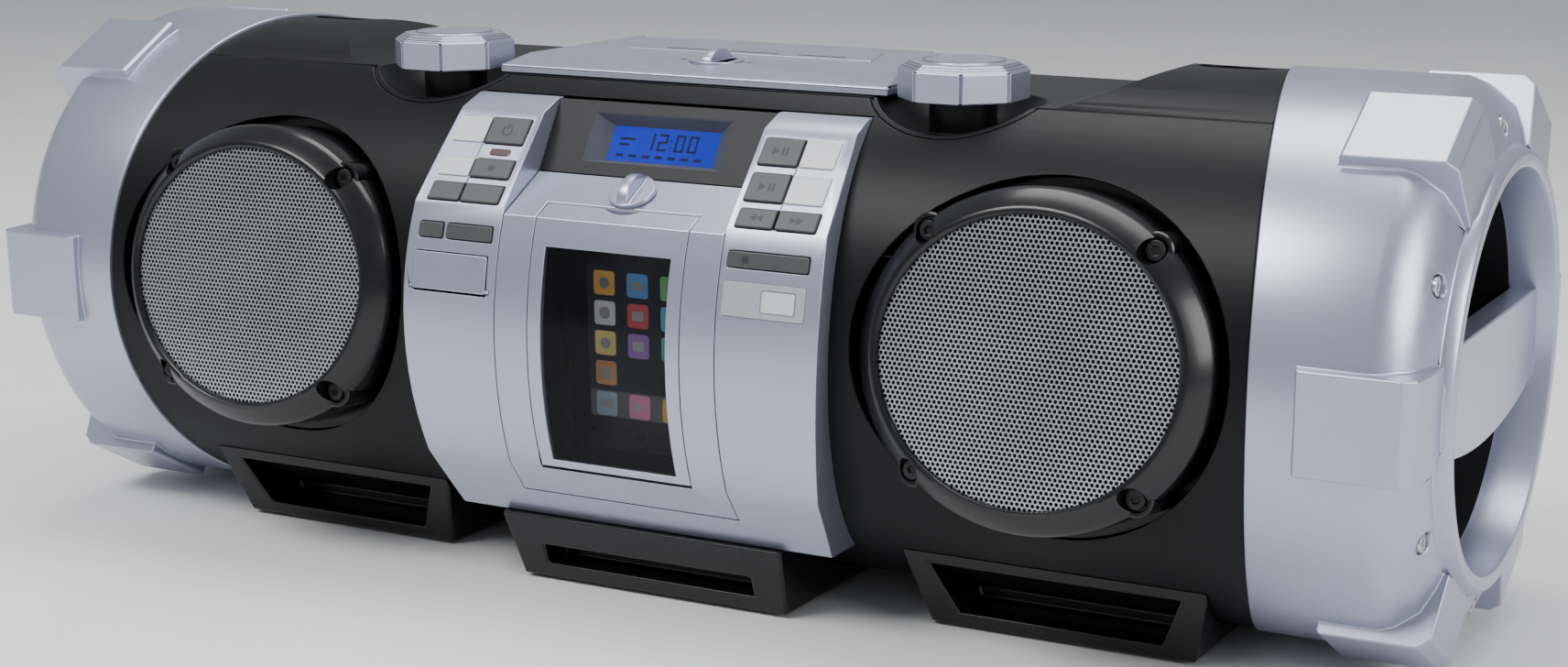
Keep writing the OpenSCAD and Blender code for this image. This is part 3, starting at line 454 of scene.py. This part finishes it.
def perforated_sheet(side, name):
    """A domed sheet of hexagonal cells, each with a hexagonal hole."""
    where = pod(side)
    row_step = PITCH * math.sqrt(3) / 2
    corner = PITCH / math.sqrt(3)
    verts = []
    faces = []
    index = {}

    def height(x, y):
        e = (x / SHEET_RADIUS) ** 2 + (y / (SHEET_RADIUS * RATIO)) ** 2
        return DOME_TOP - DOME_DROP * e ** 3

    def point(x, y, z):
        key = (round(x * 50), round(y * 50), z)
        if key not in index:
            index[key] = len(verts)
            verts.append((x, y, height(x, y) - z))
        return index[key]

    def hexagon(cx, cy, r, depth):
        return [point(cx + r * math.cos(a), cy + r * math.sin(a), depth) for a in angles]

    angles = [math.radians(30 + 60 * k) for k in range(6)]
    for j in range(-34, 35):
        for i in range(-32, 33):
            cx = PITCH * (i + 0.5 * (j % 2))
            cy = row_step * j
            if (cx / SHEET_REACH) ** 2 + (cy / (SHEET_REACH * RATIO)) ** 2 > 1:
                continue
            outer = hexagon(cx, cy, corner, 0)
            hole = hexagon(cx, cy, HOLE * corner, 0)
            low = hexagon(cx, cy, HOLE * corner, SHEET_WALL)
            for k in range(6):
                n = (k + 1) % 6
                faces.append([outer[k], outer[n], hole[n], hole[k]])
                faces.append([hole[k], hole[n], low[n], low[k]])
    me = bpy.data.meshes.new(name + "_sheet")
    me.from_pydata([where @ Vector(v) for v in verts], [], faces)
    g = link(bpy.data.objects.new(name + "_grille_look", me), MESH, "cabinet")
    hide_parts(name + "_grille")
    # A dark disc behind the sheet is painted shade: it keeps the holes black
    back = Parts()
    back.lathe([(0, 1.5), (SHEET_RADIUS, 1.5), (SHEET_RADIUS, 1.2), (0, 1.2)], ratio=RATIO, steps=96)
    back.make(name + "_shade_disc", where, MATTE, "cabinet", name + "_grille")


for side, name in ((-1, "left"), (1, "right")):
    ring_and_collars(side, name)
    perforated_sheet(side, name)


# ---------- display ----------

LCD = place(-78.5, 78.55, 90 - math.degrees(math.atan2(18.2, 29.5)))


# Outlines as x0, x1, y0, y1: the bezel, its opening at the face, and the lit screen
BEZEL_EDGE = (-53.5, 53.5, -16.6, 17.2)
MOUTH = (-33.9, 33.9, -10.8, 12.3)
MOUTH_STEP = (-33.2, 33.2, -10.2, 11.7)
SCREEN = (-26.3, 26.3, -7.4, 8.8)
# Depths below the panel's face
BEZEL_FACE = -0.4
BEZEL_BACK = -12
SCREEN_FACE = -6.1


def loft_rects(loops):
    """Walls from each rectangle to the next; a loop is an outline and its height."""
    p = Parts()
    for (x0, x1, y0, y1), z in loops:
        p.verts += [(x0, y0, z), (x1, y0, z), (x1, y1, z), (x0, y1, z)]
    for k in range(len(loops) - 1):
        for i in range(4):
            j = (i + 1) % 4
            p.faces.append([4 * k + i, 4 * k + j, 4 * k + 4 + j, 4 * k + 4 + i])
    return p


bezel = loft_rects([(SCREEN, BEZEL_BACK), (BEZEL_EDGE, BEZEL_BACK), (BEZEL_EDGE, BEZEL_FACE),
                    (MOUTH, BEZEL_FACE)])
bezel = bezel.make("bezel_look", LCD, BEZEL, "cabinet", "lcd_bezel", 30)
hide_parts("lcd_bezel")
walls = loft_rects([(MOUTH, BEZEL_FACE), (MOUTH_STEP, -0.9), ((-26.2, 26.2, -7.2, 8.7), -6.2)])
walls.make("bezel_walls", LCD, RECESS, "cabinet", "lcd_bezel", 20)
screen = Parts()
screen.prism([(-26.3, -7.4), (26.3, -7.4), (26.3, 8.8), (-26.3, 8.8)], -8.5, SCREEN_FACE)
o = screen.make("screen_look", LCD, BLUE, "cabinet", "lcd_module")
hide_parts("lcd_module")
pane = Parts()
pane.prism(rounded(-33.1, 33.1, -10.1, 11.6, 0.6), -1.3, -1.0)
o = pane.make("pane_look", LCD, CLEAR, "cabinet", "lcd_window")
o.visible_shadow = False
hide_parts("lcd_window")

# Segments that are lit, for the digits used
SEGMENTS = {"0": "abcdef", "1": "bc", "2": "abged"}
# A digit's left edges, foot, width, height and bar
DIGIT_X = (-9.5, -3.1, 5.4, 11.8)
DIGIT_Y = -1.6
DIGIT_W = 4.6
DIGIT_H = 8.0
DIGIT_BAR = 1.15
# Gap between the ends of two segments
SEGMENT_GAP = 0.09
# Printed marks run between these two depths, through the screen's face
INK_LOW = -6.2
INK_HIGH = -6.0


def digit(p, ch, x):
    y, w, h, t = DIGIT_Y, DIGIT_W, DIGIT_H, DIGIT_BAR
    bars = {"a": (x, y + h - t, w, t), "g": (x, y + h / 2 - t / 2, w, t), "d": (x, y, w, t),
            "f": (x, y + h / 2, t, h / 2), "b": (x + w - t, y + h / 2, t, h / 2),
            "e": (x, y, t, h / 2), "c": (x + w - t, y, t, h / 2)}
    for k in SEGMENTS[ch]:
        bx, by, bw, bh = bars[k]
        m = SEGMENT_GAP
        p.prism([(bx + m, by + m), (bx + bw - m, by + m), (bx + bw - m, by + bh - m), (bx + m, by + bh - m)],
                INK_LOW, INK_HIGH)


digits = Parts()
for ch, x in zip("1200", DIGIT_X):
    digit(digits, ch, x)
for y in (0.4, 3.4):
    digits.prism(circle(3.2, y, 0.55, 12), INK_LOW, INK_HIGH)
for k in range(7):
    left = -22 + 6.4 * k
    right = -18.4 + 6.4 * k
    digits.prism([(left, -5.2), (right, -5.2), (right, -3.9), (left, -3.9)], INK_LOW, INK_HIGH)
digits.prism([(-22, 0), (-17, 0), (-17, 1), (-22, 1)], INK_LOW, INK_HIGH)
digits.prism([(-22, 2.6), (-14.5, 2.6), (-14.5, 3.6), (-22, 3.6)], INK_LOW, INK_HIGH)
digits.make("screen_digits", LCD, DIGIT, "cabinet", "lcd_module")


# ---------- symbols on the buttons ----------

# Distance down the slope of each row of buttons, and the angle of the stop button and the remote window
DOCK_ROW = 11.15
LINE_ROW = 30.4
CD_ROW = 28.35
TRACK_ROW = 43.05
STOP_ANGLE = 16.95
EYE_ANGLE = 11.25
# Middle of the symbols on the left buttons
LEFT_X = -67.8


def tri(cx, cy, w, h, way=1):
    pts = [(cx - way * w / 2, cy - h / 2), (cx + way * w / 2, cy), (cx - way * w / 2, cy + h / 2)]
    return pts if way > 0 else pts[::-1]


def bar(x0, x1, y0, y1):
    return [(x0, y0), (x1, y0), (x1, y1), (x0, y1)]


def symbol(name, node, where, shapes, top=0.9):
    """Printed shapes on a button, whose face stands top above the panel."""
    p = Parts()
    for s in shapes:
        p.prism(s, top - 0.1, top + 0.05)
    p.make(name, where, INK, BODY_OF[node], node)


def play_pause(cx):
    return [tri(cx - 2.2, 0, 3.4, 4.0), bar(cx + 0.6, cx + 1.5, -2, 2), bar(cx + 2.4, cx + 3.3, -2, 2)]


symbol("mark_dock_play", "dock_play_button", on_slope(DOCK_ROW), play_pause(66.2))
symbol("mark_cd_play", "cd_play_button", on_slope(CD_ROW), play_pause(66))
symbol("mark_rewind", "rewind_button", on_slope(TRACK_ROW), [tri(x, 0, 3.0, 3.4, -1) for x in (64.6, 67.6)])
symbol("mark_forward", "forward_button", on_slope(TRACK_ROW), [tri(x, 0, 3.0, 3.4) for x in (83.2, 86.2)])
symbol("mark_stop", "stop_button", on_arc(STOP_ANGLE), [bar(64, 67, -1.5, 1.5)])
# Power: a short bar in the gap of a ring that is open at the top
power = [bar(-68.2, -67.4, 0.6, 3.4)]
for i in range(24):
    a0 = 125 + 290 * i / 24
    a1 = 125 + 290 * (i + 1) / 24
    quad = [(LEFT_X + r * math.cos(math.radians(a)), r * math.sin(math.radians(a)))
            for a, r in ((a0, 1.9), (a0, 2.7), (a1, 2.7), (a1, 1.9))]
    power.append(quad[::-1])
symbol("mark_power", "power_button", on_slope(DOCK_ROW), power)
symbol("mark_line", "line_in_button", on_slope(LINE_ROW), [circle(LEFT_X, 0, 1.6, 20)])

eye = Parts()
eye.prism(rounded(74.6, 89.6, -4.2, 4.2, 1.2), 0.05, 0.55)
eye.make("remote_eye", on_arc(EYE_ANGLE), WHITE, "cabinet", "remote_window", 30, 0.25)


# ---------- lid details ----------

# Height of the lid's top above the tube's axis
LID_TOP = 107.8
LID = Matrix.Translation((0, 0, (AXIS + LID_TOP) * MM)) @ Matrix.Diagonal((MM, MM, MM, 1))
plate = Parts()
plate.prism([(-62, -2), (62, -2), (50, 34), (-50, 34)], -0.3, 0.7)
plate.make("lid_plate", LID, SILVER, "cd_lid", "cd_lid", 30, 0.35)
slots = Parts()
for x in (-34, 0, 34):
    slots.prism(rounded(x - 12, x + 12, 4, 6.2, 1.0), 0.6, 0.76)
for x, way in ((-17.5, -1), (17.5, 1)):
    slots.prism(tri(x, -28, 3.4, 3.0, way), -0.1, 0.06)
slots.make("lid_marks", LID, INK, "cd_lid", "cd_lid")


# ---------- docked player ----------

GLASS = place(-95.5, -53, 90)
face = Parts()
face.prism(rounded(-25.2, 25.2, 14.5, 80.5, 0.8), 0.02, 0.12)
dark_glass = glowing("player_screen_dark", (0.012, 0.014, 0.022), (0.03, 0.035, 0.05), 0.4)
face.make("player_screen", GLASS, dark_glass, "cabinet", "docked_player")
# Middles of the columns of tiles, half a tile's side, and the tiles' colours
COLUMNS = (-16.5, 0, 16.5)
TILE_HALF = 5.2
TILES = [(0.75, 0.45, 0.10), (0.12, 0.35, 0.70), (0.20, 0.55, 0.22), (0.62, 0.62, 0.64), (0.60, 0.12, 0.12),
         (0.15, 0.45, 0.62), (0.70, 0.62, 0.20), (0.35, 0.20, 0.55), (0.12, 0.50, 0.45), (0.55, 0.30, 0.15),
         (0.30, 0.40, 0.50), (0.65, 0.25, 0.40)]
SPOTS = [(c, 73 - 13 * r) for r in range(3) for c in COLUMNS] + [(COLUMNS[0], 34)]
SPOTS += [(c, 20.5) for c in COLUMNS]
bar_back = Parts()
bar_back.prism(rounded(-24.6, 24.6, 14.9, 26.4, 0.5), 0.12, 0.16)
bar_grey = glowing("player_bar_grey", (0.08, 0.085, 0.10), (0.14, 0.15, 0.17), 0.3)
bar_back.make("player_bar", GLASS, bar_grey, "cabinet", "docked_player")
for k, (cx, cy) in enumerate(SPOTS):
    col = TILES[k % len(TILES)]
    tile = Parts()
    tile.prism(rounded(cx - TILE_HALF, cx + TILE_HALF, cy - TILE_HALF, cy + TILE_HALF, 1.5), 0.17, 0.32)
    dot = Parts()
    shape = [circle(cx, cy, 2.6, 24), rounded(cx - 2.8, cx + 2.8, cy - 2, cy + 2, 0.6),
             tri(cx, cy, 4.6, 5.2)][k % 3]
    dot.prism(shape, 0.32, 0.4)
    m = glowing("tile_%02d" % k, shade(col, 0.6), shade(col, 0.9), 0.5)
    tile.make("player_tile_%02d" % k, GLASS, m, "cabinet", "docked_player")
    dot.make("player_mark_%02d" % k, GLASS, WHITE, "cabinet", "docked_player")
home = Parts()
home.lathe([(3.4, 0.1), (3.8, 0.25), (4.2, 0.1)], 0, 7.2, steps=48)
home.make("player_home", GLASS, GREY, "cabinet", "docked_player")


# ---------- stage ----------

# Half of the floor's side, in metres
FLOOR = 6
floor_mesh = bpy.data.meshes.new("floor")
floor_mesh.from_pydata([(-FLOOR, -FLOOR, 0), (FLOOR, -FLOOR, 0), (FLOOR, FLOOR, 0), (-FLOOR, FLOOR, 0)], [],
                       [(0, 1, 2, 3)])
floor = bpy.data.objects.new("floor", floor_mesh)
bpy.context.scene.collection.objects.link(floor)
floor_mesh.materials.append(plastic("floor_pale", (0.80, 0.80, 0.80), 0.7, 40, 0.0001, 0.01))

world = bpy.data.worlds.new("studio")
bpy.context.scene.world = world
world.use_nodes = True
world.node_tree.nodes["Background"].inputs["Color"].default_value = (0.93, 0.95, 1.0, 1)
world.node_tree.nodes["Background"].inputs["Strength"].default_value = 0.42


def light(name, pos, target, size, power):
    """A soft rectangular light, in metres and watts, that points at target."""
    d = bpy.data.lights.new(name, "AREA")
    d.shape = "RECTANGLE"
    d.size, d.size_y = size
    d.energy = power
    o = bpy.data.objects.new(name, d)
    o.location = pos
    o.rotation_euler = (Vector(target) - Vector(pos)).to_track_quat("-Z", "Y").to_euler()
    bpy.context.scene.collection.objects.link(o)


light("key", (-0.7, -1.3, 1.9), (0, 0, 0.1), (1.3, 0.8), 42)
light("side", (2.0, -0.5, 0.9), (0.1, 0, 0.1), (0.9, 1.1), 24)
light("top", (0.1, 0.35, 1.9), (0, 0, 0.2), (2.0, 0.8), 30)

# The camera looks from the right of the front and a little from above, in degrees; places are in metres
AZ = math.radians(26.66)
EL = math.radians(14.55)
ROLL = math.radians(0.23)
right = Vector((math.cos(AZ), math.sin(AZ), 0))
ahead = Vector((-math.sin(AZ) * math.cos(EL), math.cos(AZ) * math.cos(EL), -math.sin(EL)))
up = right.cross(ahead)
rolled_right = right * math.cos(ROLL) + up * math.sin(ROLL)
rolled_up = up * math.cos(ROLL) - right * math.sin(ROLL)
cam = bpy.data.cameras.new("camera")
cam.sensor_width = 36
cam.lens = 57.886
cam.shift_x = -0.0703
cam.shift_y = 0.0669
camera = bpy.data.objects.new("camera", cam)
pose = Matrix((rolled_right, rolled_up, -ahead)).transposed().to_4x4()
pose.translation = Vector((0.56376, -0.97748, 0.34359))
camera.matrix_world = pose
bpy.context.scene.collection.objects.link(camera)
bpy.context.scene.camera = camera
